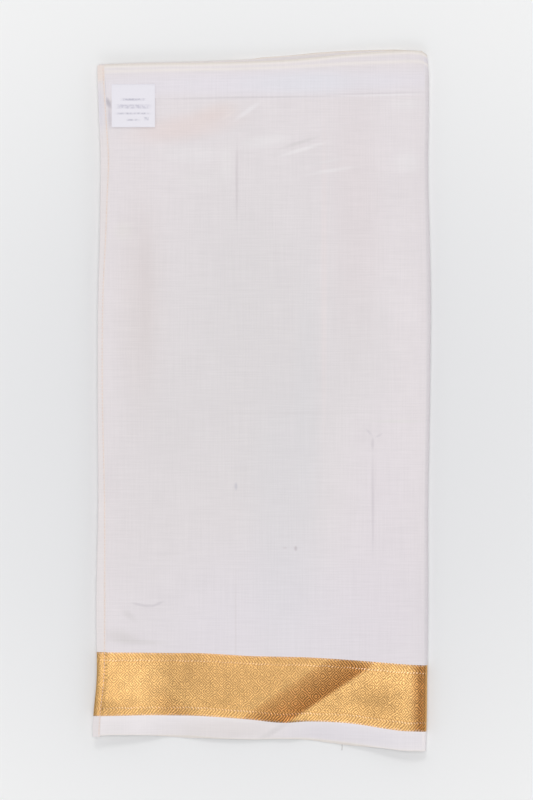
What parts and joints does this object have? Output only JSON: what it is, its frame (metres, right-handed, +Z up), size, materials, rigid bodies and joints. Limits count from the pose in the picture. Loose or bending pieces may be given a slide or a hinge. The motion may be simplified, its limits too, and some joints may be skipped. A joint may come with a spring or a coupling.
{
  "type": "folded silk dhoti cloth with a zari border",
  "caption": "Ivory silk dhoti cloth with a woven gold border and a plain selvedge, folded flat into a layered stack with its hemmed end and a small label on top.",
  "frame": {"origin": "centre of the folded stack's outline, on the surface that it lies on", "axes": "+X across the panel from the hemmed end to the last turn, +Y from the border to the long fold, +Z up, off the surface"},
  "size_m": [0.3113, 0.6463, 0.0119],
  "materials": {
    "ivory_silk": "plain-woven silk, soft sheen",
    "gold_zari": "woven metal thread, satin gold",
    "selvedge_silk": "plain-woven silk, soft sheen",
    "folded_silk": "plain-woven silk, soft sheen",
    "label_satin": "printed satin tape"
  },
  "bodies": {
    "root": {"outer_turn_silk": "ivory_silk", "outer_turn_border": "gold_zari", "outer_turn_selvedge": "selvedge_silk", "inner_layers": "folded_silk", "end_hem_silk": "ivory_silk", "end_hem_border": "gold_zari", "end_hem_selvedge": "selvedge_silk", "label": "label_satin"}
  },
  "joints": []
}
